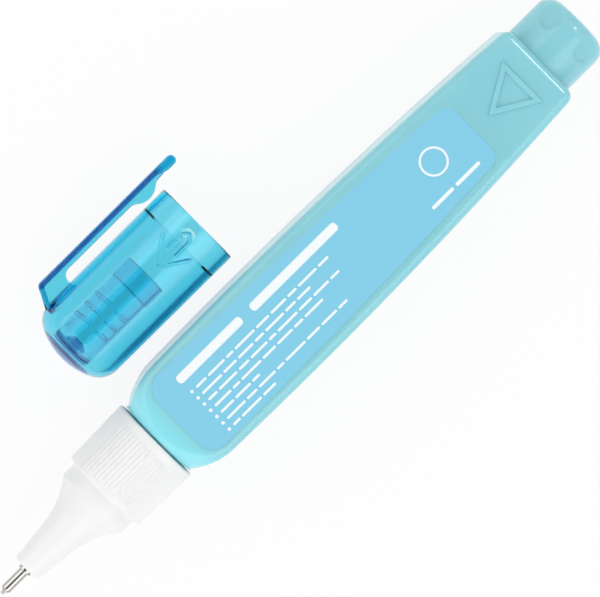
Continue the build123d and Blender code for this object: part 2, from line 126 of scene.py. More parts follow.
def rounded(corners, steps=6):
    """Points along a run of corners (x, y, radius), each rounded by an arc of its radius."""
    points = []
    for index, (x, y, radius) in enumerate(corners):
        here = Vector((x, y))
        if radius == 0:
            points.append((x, y))
            continue
        back = (Vector(corners[index - 1][:2]) - here).normalized()
        ahead = (Vector(corners[(index + 1) % len(corners)][:2]) - here).normalized()
        half = back.angle(ahead) / 2
        centre = here + (back + ahead).normalized() * (radius / math.sin(half))
        first = here + back * (radius / math.tan(half)) - centre
        turn = (math.pi - 2 * half) * (1 if back.x * ahead.y - back.y * ahead.x < 0 else -1)
        for step in range(steps + 1):
            spoke = Matrix.Rotation(turn * step / steps, 2) @ first
            points.append(tuple(centre + spoke))
    return points


def dense(points, longest):
    """The same run of points with long stretches divided evenly."""
    run = [points[0]]
    for start, end in zip(points, points[1:]):
        count = max(1, math.ceil(math.dist(start, end) / longest))
        for step in range(1, count + 1):
            share = step / count
            run.append(tuple(a + (b - a) * share for a, b in zip(start, end)))
    return run


def tangent_arc(start, direction, end, steps):
    """Points of the arc that leaves start along a direction and reaches end."""
    start, end = Vector(start), Vector(end)
    normal = Vector(direction).normalized().orthogonal()
    chord = end - start
    centre = start + normal * (chord.length_squared / (2 * normal.dot(chord)))
    first, last = start - centre, end - centre
    turn = first.angle(last) * (1 if first.x * last.y - first.y * last.x > 0 else -1)
    return [tuple(centre + Matrix.Rotation(turn * step / steps, 2) @ first) for step in range(steps + 1)]


def skin(rings, ends=None):
    """Vertices and faces over rings of equal count, closed flat, at two end points or back on itself."""
    rings = np.asarray(rings, float)
    count, around = rings.shape[:2]
    vertices = rings.reshape(-1, 3).tolist()
    faces = []
    for ring in range(count if ends is None else count - 1):
        here, there = ring * around, (ring + 1) % count * around
        for step in range(around):
            after = (step + 1) % around
            faces.append((here + step, here + after, there + after, there + step))
    if ends == "flat":
        faces.append(tuple(range(around)))
        faces.append(tuple(range((count - 1) * around, count * around)))
    elif ends is not None:
        tip, last = len(vertices), (count - 1) * around
        vertices.extend(ends)
        for step in range(around):
            after = (step + 1) % around
            faces.append((tip, after, step))
            faces.append((tip + 1, last + step, last + after))
    return vertices, faces


def turned(profile, angle, push=None):
    """Skin of (x, radius) points turned about the X axis, which push may raise or sink."""
    profile = np.array(profile)
    capped = profile[0, 1] == 0
    points = profile[1:-1] if capped else profile
    x = np.repeat(points[:, :1], len(angle), axis=1)
    radius = np.repeat(points[:, 1:], len(angle), axis=1)
    if push:
        radius = radius + push(x, radius, angle[None, :])
    rings = np.stack([x, radius * np.cos(angle), radius * np.sin(angle)], axis=-1)
    ends = [(profile[0, 0], 0.0, 0.0), (profile[-1, 0], 0.0, 0.0)] if capped else None
    return skin(rings, ends)


def shade(mesh, sharp=CREASE_ANGLE):
    """Smooth shading, but for edges sharper than an angle in degrees."""
    mesh.shade_smooth()
    mesh.set_sharp_from_angle(angle=math.radians(sharp))


def new_object(name, vertices, faces, shift=(0.0, 0.0, 0.0)):
    """A smooth-shaded mesh, from lengths in millimetres."""
    mesh = bpy.data.meshes.new(name)
    moved = (np.asarray(vertices, float) + np.asarray(shift)) * MM
    mesh.from_pydata(moved.tolist(), [], faces)
    work = bmesh.new()
    work.from_mesh(mesh)
    bmesh.ops.remove_doubles(work, verts=work.verts, dist=WELD)
    bmesh.ops.recalc_face_normals(work, faces=work.faces)
    work.to_mesh(mesh)
    work.free()
    shade(mesh)
    piece = bpy.data.objects.new(name, mesh)
    bpy.context.collection.objects.link(piece)
    return piece


def joined(base, *others):
    """The base piece with other closed pieces fused into it."""
    for other in others:
        union = base.modifiers.new("union", "BOOLEAN")
        union.operation = "UNION"
        union.solver = "EXACT"
        union.object = other
    graph = bpy.context.evaluated_depsgraph_get()
    mesh = bpy.data.meshes.new_from_object(base.evaluated_get(graph))
    base.modifiers.clear()
    base.data = mesh
    for other in others:
        bpy.data.objects.remove(other)
    return base


def dress(piece, finish, body, *nodes, slot=None):
    """Gives a piece its finish and its body, and lets it stand for the named nodes."""
    piece.data.materials.clear()
    piece.data.materials.append(MATERIALS[finish])
    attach(piece, body)
    if nodes:
        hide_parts(*nodes)


# Materials: lengths here are in metres

WHITE = (1.0, 1.0, 1.0, 1.0)

# Places of the colour sockets on a Mix node
MIX_LOW = 6
MIX_HIGH = 7
MIX_RESULT = 2


def linear(code):
    """A colour written as six hexadecimal digits, in the linear values that the shaders take."""
    shares = [int(code[place:place + 2], 16) / 255 for place in (0, 2, 4)]
    return tuple(v / 12.92 if v <= 0.04045 else ((v + 0.055) / 1.055) ** 2.4 for v in shares) + (1.0,)


class Shader:
    """A material whose Principled shader is wired up in a few short calls."""

    def __init__(self, name):
        self.material = bpy.data.materials.new(name)
        self.material.use_nodes = True
        self.tree = self.material.node_tree
        self.principled = self.tree.nodes["Principled BSDF"]
        self.output = self.tree.nodes["Material Output"]
        self.place = self.node("ShaderNodeTexCoord").outputs["Object"]

    def node(self, kind, inputs=None, **settings):
        """A new node, with its settings and the values or links of its inputs."""
        node = self.tree.nodes.new(kind)
        for name, value in settings.items():
            setattr(node, name, value)
        for name, value in (inputs or {}).items():
            self.put(node.inputs[name], value)
        return node

    def put(self, socket, value):
        """Sets a socket to a value, or links it to another node's output."""
        if isinstance(value, bpy.types.NodeSocket):
            self.tree.links.new(value, socket)
        else:
            socket.default_value = value

    def set(self, **values):
        """Sets inputs of the Principled shader, whose names have underscores for spaces."""
        for name, value in values.items():
            self.put(self.principled.inputs[name.replace("_", " ")], value)

    def stretched(self, scale):
        """The object's own coordinates, stretched by a scale along each axis."""
        return self.node("ShaderNodeMapping", {"Vector": self.place, "Scale": scale}).outputs["Vector"]

    def part(self, axis, vector=None):
        """One coordinate of a vector, or else of the object's own coordinates."""
        return self.node("ShaderNodeSeparateXYZ", {"Vector": vector or self.place}).outputs[axis]

    def noise(self, per_metre, detail=3.0, vector=None):
        """Smooth noise, from 0 to 1, with about so many blotches to the metre."""
        inputs = {"Vector": vector or self.place, "Scale": per_metre, "Detail": detail}
        return self.node("ShaderNodeTexNoise", inputs).outputs["Fac"]

    def compute(self, operation, *values, clamp=False):
        """The result of an operation on one or two values."""
        inputs = dict(enumerate(values))
        return self.node("ShaderNodeMath", inputs, operation=operation, use_clamp=clamp).outputs["Value"]

    def ramp(self, value, start, end, low=0.0, high=1.0, blend="LINEAR"):
        """A value from one range brought into another, and held at its ends."""
        inputs = {"Value": value, "From Min": start, "From Max": end, "To Min": low, "To Max": high}
        return self.node("ShaderNodeMapRange", inputs, interpolation_type=blend).outputs["Result"]

    def spread(self, value, low, high):
        """A value that runs from 0 to 1 brought into another range."""
        return self.ramp(value, 0.0, 1.0, low, high)

    def tint(self, value, low, high):
        """A colour between two colours, by a value from 0 to 1."""
        inputs = {"Factor": value, MIX_LOW: low, MIX_HIGH: high}
        return self.node("ShaderNodeMix", inputs, data_type="RGBA").outputs[MIX_RESULT]

    def bump(self, height, depth):
        """A surface normal raised by a height from 0 to 1, of that depth."""
        return self.node("ShaderNodeBump", {"Height": height, "Distance": depth}).outputs["Normal"]

    def surface(self, share, first, second):
        """Sends a mix of two shaders to the output, by a share from 0 to 1."""
        mixed = self.node("ShaderNodeMixShader", {"Fac": share, 1: first, 2: second})
        self.put(self.output.inputs["Surface"], mixed.outputs["Shader"])


# Places along the pen, in metres, where the painted light on the shoulder begins and where it is full
SHOULDER_LIGHT_START = 0.02
SHOULDER_LIGHT_FULL = 0.0125


def bottle_plastic():
    """Milky turquoise squeeze-bottle plastic: faint clouding, satin skin, and a brighter, bluer colour
    painted on at the shoulder as light shining through its thin wall.
    """
    shader = Shader("bottle_plastic")
    cloud = shader.noise(per_metre=90)
    milky = shader.tint(cloud, linear("8bcfda"), linear("97d8e1"))
    # clear: share of the painted light on the shoulder, 0 behind it and 1 at the lip
    clear = shader.ramp(shader.part("X"), SHOULDER_LIGHT_START, SHOULDER_LIGHT_FULL, blend="SMOOTHSTEP")
    skin_grain = shader.noise(per_metre=2600, detail=2.0)
    streak = shader.noise(per_metre=300, detail=2.0, vector=shader.stretched((0.2, 1.0, 1.0)))
    shader.set(
        # The shoulder's brighter, bluer colour is painted light, standing for light shining through the
        # thin wall
        Base_Color=shader.tint(clear, milky, linear("92e6f2")),
        Roughness=shader.spread(streak, low=0.15, high=0.21),
        Normal=shader.bump(skin_grain, depth=0.000003),
        Subsurface_Weight=0.4,
        Subsurface_Scale=0.0025,
        Subsurface_Radius=(0.5, 1.0, 1.1),
        IOR=1.5,
    )
    return shader.material


def label_film():
    """Printed light-blue film: a fine print grain and a faint waviness."""
    shader = Shader("label_film")
    grain = shader.noise(per_metre=5200, detail=1.0)
    wave = shader.noise(per_metre=140, detail=1.0)
    shader.set(
        Base_Color=shader.tint(grain, linear("80cbe7"), linear("89d1ea")),
        Roughness=shader.spread(wave, low=0.36, high=0.44),
        Normal=shader.bump(wave, depth=0.00003),
        IOR=1.46,
    )
    return shader.material


def white_ink():
    """White print, a little uneven where the film shows through it."""
    shader = Shader("white_ink")
    cover = shader.noise(per_metre=4200, detail=2.0)
    shader.set(
        Base_Color=shader.tint(cover, linear("eaf5f9"), linear("fdfefe")),
        Roughness=shader.spread(cover, low=0.4, high=0.5),
    )
    return shader.material


def white_plastic():
    """White moulded plastic with a soft shine."""
    shader = Shader("white_plastic")
    cloud = shader.noise(per_metre=150)
    skin_grain = shader.noise(per_metre=3000, detail=2.0)
    shader.set(
        Base_Color=shader.tint(cloud, linear("eeefef"), linear("f5f5f4")),
        Roughness=shader.spread(skin_grain, low=0.32, high=0.42),
        Normal=shader.bump(skin_grain, depth=0.000003),
        Subsurface_Weight=0.12,
        Subsurface_Scale=0.001,
        Subsurface_Radius=(1.0, 0.95, 0.9),
    )
    return shader.material


def inner_plastic():
    """Natural acetal of the valve pieces, slightly creamy."""
    shader = Shader("inner_plastic")
    cloud = shader.noise(per_metre=400)
    shader.set(
        Base_Color=shader.tint(cloud, linear("e2e0d6"), linear("efede5")),
        Roughness=shader.spread(cloud, low=0.35, high=0.45),
        Subsurface_Weight=0.2,
        Subsurface_Scale=0.001,
    )
    return shader.material


def gasket_rubber():
    """Dark grey rubber with a dull, slightly pitted skin."""
    shader = Shader("gasket_rubber")
    pits = shader.noise(per_metre=3500, detail=2.0)
    shader.set(
        Base_Color=shader.tint(pits, linear("2c2e30"), linear("3a3c3e")),
        Roughness=shader.spread(pits, low=0.6, high=0.8),
        Normal=shader.bump(pits, depth=0.00001),
    )
    return shader.material


def bright_metal():
    """Bright turned metal with fine tool marks round it."""
    shader = Shader("bright_metal")
    marks = shader.noise(per_metre=900, detail=2.0, vector=shader.stretched((14.0, 1.0, 1.0)))
    shader.set(
        Base_Color=shader.tint(marks, linear("b0aeab"), linear("cfcdc9")),
        Metallic=1.0,
        Roughness=shader.spread(marks, low=0.06, high=0.12),
        Normal=shader.bump(marks, depth=0.000002),
    )
    return shader.material


def clear_styrene(name, density):
    """Shader of clear blue styrene, coloured through its depth by so much to the metre."""
    shader = Shader(name)
    flow = shader.noise(per_metre=110, detail=1.0, vector=shader.stretched((0.4, 1.0, 1.0)))
    shader.set(
        Base_Color=WHITE,
        Roughness=shader.spread(flow, low=0.0, high=0.02),
        Normal=shader.bump(flow, depth=0.00001),
        Transmission_Weight=1.0,
        IOR=1.5,
    )
    depth = shader.node("ShaderNodeVolumeAbsorption", {"Color": linear("2fe9f6"), "Density": density})
    shader.put(shader.output.inputs["Volume"], depth.outputs["Volume"])
    shadow = shader.node("ShaderNodeLightPath").outputs["Is Shadow Ray"]
    passing = shader.node("ShaderNodeBsdfTransparent", {"Color": linear("f8fcfd")})
    shader.surface(shadow, shader.principled.outputs["BSDF"], passing.outputs["BSDF"])
    return shader


CAP_DENSITY = 900.0
SLEEVE_DENSITY = 1400.0
# Painted shade on the clip's spine edges: where it lies and fades, in metres, and the range of the normal's
# tilt that takes it
CLIP_END, CLIP_OUTER_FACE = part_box("cap")[1].xy
CLIP_SPINE_DEPTH = 0.001
CLIP_SPINE_FADE = 0.00015
CLIP_TIP_LENGTH = 0.0039
CLIP_TIP_PALE = 0.0024
CLIP_TIP_SHARE = 0.2
CLIP_EDGE_TILT = (0.05, 0.3)


def clip_edge_shade(shader):
    """Share of painted shade: 1 on the narrow upper and lower edges of the clip's spine, less at its free
    end, 0 elsewhere.
    """
    tip = CLIP_END - CLIP_TIP_LENGTH, CLIP_END - CLIP_TIP_PALE
    full = shader.ramp(shader.part("X"), *tip, 1.0, CLIP_TIP_SHARE)
    inner = CLIP_OUTER_FACE - CLIP_SPINE_DEPTH
    spine = shader.ramp(shader.part("Y"), inner - CLIP_SPINE_FADE, inner + CLIP_SPINE_FADE, 0.0, full)
    normal = shader.node("ShaderNodeNewGeometry").outputs["Normal"]
    tilt = shader.compute("ABSOLUTE", shader.part("Z", normal))
    return shader.compute("MULTIPLY", spine, shader.ramp(tilt, *CLIP_EDGE_TILT))


def clear_blue():
    """The cap's styrene, with a deeper blue painted as shade on the narrow edges of its clip."""
    shader = clear_styrene("clear_blue", CAP_DENSITY)
    # The deeper blue on the clip's edges is painted shade
    shader.set(Base_Color=shader.tint(clip_edge_shade(shader), WHITE, linear("1084c5")))
    return shader.material


def sleeve_blue():
    """The sleeve's styrene, which is coloured more strongly."""
    return clear_styrene("sleeve_blue", SLEEVE_DENSITY).material


FINISHES = (
    bottle_plastic, label_film, white_ink, white_plastic, inner_plastic, bright_metal, gasket_rubber,
    clear_blue, sleeve_blue,
)
MATERIALS = {finish.__name__: finish() for finish in FINISHES}
NODE_FINISH = {
    "front_label": "label_film",
    "back_label": "label_film",
    "needle_plunger": "inner_plastic",
    "spring_retainer": "inner_plastic",
    "neck_gasket": "gasket_rubber",
    "valve_needle": "bright_metal",
    "mixing_ball": "bright_metal",
}


def dress_nodes():
    """Gives every carried-over node its finish."""
    for name, finish in NODE_FINISH.items():
        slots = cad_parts[name].data.materials
        slots.clear()
        slots.append(MATERIALS[finish])


# Bottle: pairs are a place along the pen and a half width or radius

COLLAR_REAR = box_mm("nozzle")[1].x
COLLAR_GAP = 0.35
BOTTLE_FRONT = COLLAR_REAR + COLLAR_GAP
NECK_MOUTH = box_mm("bottle")[0].x
POST_END = box_mm("bottle")[1].x
POST_LENGTH = 9.15
BOTTLE_REAR = POST_END - POST_LENGTH
HALF_THICKNESS = -box_mm("bottle")[0].z
HALF_WIDTHS = ((BOTTLE_REAR, 7.55), (36.8, 9.5), (19.8, 9.3))
SHOULDER_SIDE_RADIUS = 14.0
EDGE_RADIUS = 1.5
CORNER_RADIUS = 1.65
REAR_CORNER = BOTTLE_REAR - CORNER_RADIUS
LIP_CHAMFER = 0.7
LIP = (BOTTLE_FRONT + LIP_CHAMFER, 8.1)
SHOULDER_CURVE = (LIP, (14.7, 10.1), (18.3, 12.2))
SHOULDER_RISE = 0.5
CREASE_BLEND = 0.7
NECK_RADIUS = 5.8
POST_RADIUS = 6.6
POST_END_RADIUS = 2.5
POST_BLEND = 0.5
SCALLOP_COUNT = 5
SCALLOP_HALF_WIDTH = 2.1
SCALLOP_LENGTH = 5.2
SCALLOP_FLOOR = 6.1
SCALLOP_SOFTNESS = 0.4
LABEL_LOW, LABEL_HIGH = box_mm("front_label")
LABEL_HALF_WIDTHS = ((LABEL_HIGH.x, 6.1), (42.9, 7.45), (LABEL_LOW.x, 7.75))
LABEL_FRONT_CORNER = 3.2
LABEL_REAR_CORNER = 2.2
RECESS_GAP = 0.12
RECESS_DEPTH = 0.15
RECESS_SOFTNESS = 0.2
RECESS_MARGIN = 0.08
RECESS_FRONT = LABEL_LOW.x - RECESS_GAP
RECESS_REAR = LABEL_HIGH.x + RECESS_GAP

SIDE_CIRCLE = circle_through(*HALF_WIDTHS)
SHOULDER_CIRCLE = circle_through(*SHOULDER_CURVE)
LABEL_CIRCLE = circle_through(*LABEL_HALF_WIDTHS)

# How finely the bottle is divided: points round a quarter of it, then steps along it
SIDE_POINTS = 11
EDGE_POINTS = 13
MARGIN_POINTS = 5
FACE_POINTS = 25
SHOULDER_STEP = 0.17
RECESS_FRONT_REACH = 4.0
RECESS_FRONT_STEP = 0.2
RECESS_REAR_REACH = 3.0
RECESS_REAR_PAST = 0.3
RECESS_REAR_STEP = 0.15
PLAIN_STEP = 0.7
REAR_CORNER_POINTS = 16
POST_START = 0.1
POST_STEP = 0.2
POST_END_POINTS = 9
BOTTLE_CREASE_ANGLE = 50.0   # degrees


def curve_height(circle, x):
    """Height of a circle's upper side at x."""
    centre_x, centre_y, radius = circle
    return centre_y + math.sqrt(radius**2 - (x - centre_x) ** 2)


def bottle_half_width(x):
    """Half the bottle's width at x, drawn in along an arc at the shoulder."""
    shoulder_x, shoulder_y = HALF_WIDTHS[2]
    if x >= shoulder_x:
        return curve_height(SIDE_CIRCLE, x)
    lean = (shoulder_x - SIDE_CIRCLE[0]) / SIDE_CIRCLE[2]
    centre_x = shoulder_x - SHOULDER_SIDE_RADIUS * lean
    centre_y = shoulder_y - SHOULDER_SIDE_RADIUS * math.sqrt(1 - lean**2)
    return curve_height((centre_x, centre_y, SHOULDER_SIDE_RADIUS), x)


def shoulder_radius(x):
    """Radius of the turned form that trims the bottle's front to its lip and shoulder."""
    end_x, end_radius = SHOULDER_CURVE[2]
    if x < LIP[0]:
        return LIP[1] - (LIP[0] - x)
    if x < end_x:
        return curve_height(SHOULDER_CIRCLE, x)
    return end_radius + SHOULDER_RISE * (x - end_x)


def recess_share(x, y):
    """1 on the floor of a label's recess, 0 outside it, with a short slope between."""
    corner = LABEL_FRONT_CORNER if x < (LABEL_LOW.x + LABEL_HIGH.x) / 2 else LABEL_REAR_CORNER
    past_end = max(RECESS_FRONT - x, x - RECESS_REAR) + corner
    past_side = np.abs(y) - curve_height(LABEL_CIRCLE, x) - RECESS_GAP + corner
    outside = np.hypot(max(past_end, 0.0), np.maximum(past_side, 0.0))
    distance = outside + np.minimum(np.maximum(past_end, past_side), 0.0) - corner
    return smooth_step(-distance / RECESS_SOFTNESS)


def edge_points(x):
    """Points (y, z) of the bottle's rounded upper edge at x, from its side to its face."""
    flat_half = HALF_THICKNESS - EDGE_RADIUS
    rise = math.sqrt(EDGE_RADIUS**2 - max(0.0, x - BOTTLE_REAR + EDGE_RADIUS) ** 2)
    z = flat_half + rise * np.sin(np.linspace(0.0, QUARTER_TURN, EDGE_POINTS))
    inset = EDGE_RADIUS - np.sqrt(np.maximum(EDGE_RADIUS**2 - (z - flat_half) ** 2, 0.0))
    if x <= REAR_CORNER:
        return bottle_half_width(x) - inset, z
    drawn = np.sqrt(np.maximum((CORNER_RADIUS - inset) ** 2 - (x - REAR_CORNER) ** 2, 0.0))
    return bottle_half_width(REAR_CORNER) - CORNER_RADIUS + drawn, z


def face_points(x, edge, level):
    """Points (y, z) of the bottle's upper face at x, from its edge to its middle, sunk for the label."""
    recess = min(curve_height(LABEL_CIRCLE, x) + RECESS_GAP, edge - RECESS_MARGIN)
    margin = np.linspace(edge, recess, MARGIN_POINTS)[:-1]
    y = np.concatenate([margin, np.linspace(recess, 0.0, FACE_POINTS)])
    return y, level - RECESS_DEPTH * recess_share(x, y)


def bottle_section(x):
    """Points (y, z) round the bottle at x: sides, rounded edges, and faces with the label's recess."""
    edge_y, edge_z = edge_points(x)
    face_y, face_z = face_points(x, edge_y[-1], edge_z[-1])
    side_z = np.linspace(0.0, edge_z[0], SIDE_POINTS)[:-1]
    quarter_y = np.concatenate([np.full_like(side_z, edge_y[0]), edge_y[:-1], face_y])
    quarter_z = np.concatenate([side_z, edge_z[:-1], face_z])
    upper_y = np.concatenate([quarter_y, -quarter_y[-2::-1]])
    upper_z = np.concatenate([quarter_z, quarter_z[-2::-1]])
    y = np.concatenate([upper_y, upper_y[-2:0:-1]])
    z = np.concatenate([upper_z, -upper_z[-2:0:-1]])
    return y, z


def scalloped(x, y, z):
    """Points of the rear post at x, sunk where the scallops are."""
    centre_x = POST_END - SCALLOP_LENGTH + SCALLOP_HALF_WIDTH
    for index in range(SCALLOP_COUNT):
        angle = 2 * math.pi * (index + 0.5) / SCALLOP_COUNT
        across_y, across_z = math.cos(angle), math.sin(angle)
        height = z * across_y - y * across_z
        lateral = y * across_y + z * across_z
        distance = np.hypot(min(0.0, x - centre_x), lateral) - SCALLOP_HALF_WIDTH
        sink = smooth_step(-distance / SCALLOP_SOFTNESS) * np.maximum(height - SCALLOP_FLOOR, 0.0)
        y = y + sink * across_z
        z = z - sink * across_y
    return y, z


def bottle_stations():
    """Places along the bottle, closer together where its form turns."""
    front_end = RECESS_FRONT + RECESS_FRONT_REACH
    rear_start = RECESS_REAR - RECESS_REAR_REACH
    rear_end = RECESS_REAR + RECESS_REAR_PAST
    corner = np.sin(np.linspace(0.0, QUARTER_TURN, REAR_CORNER_POINTS))
    return np.concatenate([
        np.arange(BOTTLE_FRONT, RECESS_FRONT, SHOULDER_STEP),
        np.arange(RECESS_FRONT, front_end, RECESS_FRONT_STEP),
        np.arange(front_end, rear_start, PLAIN_STEP),
        np.arange(rear_start, rear_end, RECESS_REAR_STEP),
        np.arange(rear_end, REAR_CORNER, PLAIN_STEP),
        REAR_CORNER + CORNER_RADIUS * corner,
    ])


def body_rings():
    """Rings of the bottle's body, trimmed to its shoulder in front and never inside the rear post."""
    rings = []
    for x in bottle_stations():
        y, z = bottle_section(min(x, BOTTLE_REAR))
        radius = np.hypot(y, z)
        trimmed = soft_min(radius, shoulder_radius(x), CREASE_BLEND)
        trimmed = soft_max(trimmed, POST_RADIUS, POST_BLEND)
        rings.append(np.stack([np.full_like(y, x), y * trimmed / radius, z * trimmed / radius], axis=-1))
    return rings


def round_ring(x, directions, radius):
    """A round ring of the bottle at x, in the given directions from its axis, sunk at the scallops."""
    y, z = scalloped(x, *(directions * radius).T)
    return np.stack([np.full_like(y, x), y, z], axis=-1)


def neck_rings(directions):
    """Rings of the bottle's neck, out to the edge of its lip."""
    neck = [round_ring(x, directions, NECK_RADIUS) for x in (NECK_MOUTH, BOTTLE_FRONT)]
    return neck + [round_ring(BOTTLE_FRONT, directions, LIP[1] - LIP_CHAMFER)]


def post_rings(directions):
    """Rings of the rear post, round to the flat of its end."""
    side = np.arange(BOTTLE_REAR + POST_START, POST_END - POST_END_RADIUS, POST_STEP)
    rings = [round_ring(x, directions, POST_RADIUS) for x in side]
    flat_radius = POST_RADIUS - POST_END_RADIUS
    for turn in np.linspace(0.0, QUARTER_TURN, POST_END_POINTS):
        x = POST_END - POST_END_RADIUS + POST_END_RADIUS * math.sin(turn)
        rings.append(round_ring(x, directions, flat_radius + POST_END_RADIUS * math.cos(turn)))
    return rings + [round_ring(POST_END, directions, flat_radius / 2)]


def make_bottle():
    """The bottle's outside: neck, creased shoulder, flat faces with label recesses, rear post."""
    body = body_rings()
    neck = neck_rings(unit_rows(body[0][:, 1:]))
    post = post_rings(unit_rows(body[-1][:, 1:]))
    ends = [(NECK_MOUTH, 0.0, 0.0), (POST_END, 0.0, 0.0)]
    shell = new_object("bottle_shell", *skin(neck + body[1:] + post, ends))
    piece = joined(shell, make_triangle())
    shade(piece.data, BOTTLE_CREASE_ANGLE)
    dress(piece, "bottle_plastic", "pen", "bottle")


TRIANGLE_LENGTH = 7.7
TRIANGLE_REAR_GAP = 4.35
TRIANGLE_APEX = BOTTLE_REAR - TRIANGLE_REAR_GAP - TRIANGLE_LENGTH
TRIANGLE_HALF_WIDTH = 4.55
RIB_WIDTH = 0.85
RIB_HEIGHT = 0.35
RIB_EDGE = RIB_HEIGHT * 0.6
RIB_EDGE_STEPS = 4
RIB_SINK = 0.1


def rib_loop(corners, level):
    """A rib of rounded section, mitred at each corner of a closed run, inwards from it, on a level face."""
    section = rounded([
        (0.0, -RIB_SINK, 0),
        (0.0, RIB_HEIGHT, RIB_EDGE),
        (RIB_WIDTH, RIB_HEIGHT, RIB_EDGE),
        (RIB_WIDTH, -RIB_SINK, 0),
    ], RIB_EDGE_STEPS)
    rings = []
    for index, corner in enumerate(corners):
        here = Vector(corner)
        back = (Vector(corners[index - 1]) - here).normalized()
        ahead = (Vector(corners[(index + 1) % len(corners)]) - here).normalized()
        mitre = (back + ahead).normalized() / math.sin(back.angle(ahead) / 2)
        rings.append([(*(here + mitre * across), level + up) for across, up in section])
    return skin(rings)


def make_triangle():
    """The raised triangle on the bottle's face."""
    base = TRIANGLE_APEX + TRIANGLE_LENGTH
    corners = [(TRIANGLE_APEX, 0.0), (base, -TRIANGLE_HALF_WIDTH), (base, TRIANGLE_HALF_WIDTH)]
    return new_object("raised_triangle", *rib_loop(corners, HALF_THICKNESS))


# Nozzle: pairs are a place along the pen and a radius

NOZZLE_FRONT = box_mm("nozzle")[0].x
SEAT_LENGTH = 2.65
SEAT_RADIUS = 6.55
SEAT_CORNER = 0.15
FLARE_START = (-10.5, 3.28)
FLARE_STEPS = 18
CONE_FRONT_RADIUS = 2.5
CONE_EDGE = 0.35
COLLAR_FRONT_RADIUS = 7.65
COLLAR_REAR_RADIUS = 7.95
COLLAR_EDGE = 0.4
COLLAR_STEP = 0.3
SOCKET = (2.2, 5.85)
CHAMBER = (-3.2, 4.2)
PLUNGER_BORE = (-13.0, 2.1)
TIP_BORE = 1.0
GRIP_RIBS = 15
GRIP_PITCH = math.radians(5.3)
GRIP_RIB_HALF_ANGLE = math.radians(1.9)
GRIP_RIB_HEIGHT = 0.2
GRIP_FRONT = 0.75
GRIP_REAR = 10.25
GRIP_END = 0.5
GRIP_MIDDLES = (math.radians(82.0), math.radians(262.0))
NOZZLE_SEGMENTS = 480


def grip_ribs(x, radius, angle):
    """How far the collar's fine ribs stand out."""
    raised = np.zeros_like(x)
    for middle in GRIP_MIDDLES:
        turn = (angle - middle + math.pi) % (2 * math.pi) - math.pi
        place = np.clip(np.round(turn / GRIP_PITCH), -(GRIP_RIBS - 1) / 2, (GRIP_RIBS - 1) / 2)
        offset = np.abs(turn - place * GRIP_PITCH)
        raised = raised + smooth_step(1.0 - offset / GRIP_RIB_HALF_ANGLE)
    ends = smooth_step((x - GRIP_FRONT) / GRIP_END) * smooth_step((GRIP_REAR - x) / GRIP_END)
    return np.where(radius > SEAT_RADIUS + COLLAR_EDGE, GRIP_RIB_HEIGHT * raised * ends, 0.0)


def nozzle_outside():
    """Half section of the nozzle's outside, from its front to the rear of its collar."""
    cone_slope = Vector(FLARE_START) - Vector((NOZZLE_FRONT, CONE_FRONT_RADIUS))
    cone = rounded([
        (NOZZLE_FRONT, TIP_BORE, 0),
        (NOZZLE_FRONT, CONE_FRONT_RADIUS, CONE_EDGE),
        (*FLARE_START, 0),
    ])
    flare = tangent_arc(FLARE_START, cone_slope, (-SEAT_LENGTH, SEAT_RADIUS), FLARE_STEPS)
    collar = rounded([
        (-SEAT_LENGTH, SEAT_RADIUS, 0),
        (0.0, SEAT_RADIUS, SEAT_CORNER),
        (0.0, COLLAR_FRONT_RADIUS, COLLAR_EDGE),
        (COLLAR_REAR, COLLAR_REAR_RADIUS, COLLAR_EDGE),
        (COLLAR_REAR, SOCKET[1], 0),
    ])
    return cone + flare[1:] + dense(collar, COLLAR_STEP)[1:]


def make_nozzle():
    """The white nozzle: cone, flare, seat for the cap, ribbed collar, and its bores."""
    inside = [
        SOCKET,
        (SOCKET[0], CHAMBER[1]),
        CHAMBER,
        (CHAMBER[0], PLUNGER_BORE[1]),
        PLUNGER_BORE,
        (PLUNGER_BORE[0], TIP_BORE),
    ]
    profile = nozzle_outside() + inside
    piece = new_object("nozzle_body", *turned(profile, even_angles(NOZZLE_SEGMENTS), grip_ribs))
    dress(piece, "white_plastic", "pen", "nozzle")


# Metal tip

TIP_FRONT = box_mm("metal_tip")[0].x
TIP_REAR = box_mm("metal_tip")[1].x
TIP_RADIUS = 0.85
TIP_NOSE_LENGTH = 0.4
TIP_NOSE_RADIUS = 0.6
TIP_NOSE_EDGE = 0.08
TIP_NOSE_BEND = 0.2
TIP_FLANGE_LENGTH = 0.6
TIP_FLANGE_RADIUS = 1.2
TIP_FLANGE_ROOT = 0.06
TIP_FLANGE_FRONT_EDGE = 0.12
TIP_FLANGE_REAR_EDGE = 0.06
TIP_HOLE = 0.42
TIP_INSIDE = 0.62
TIP_SEAT = 0.7
TIP_EDGE_STEPS = 5
TIP_SEGMENTS = 96


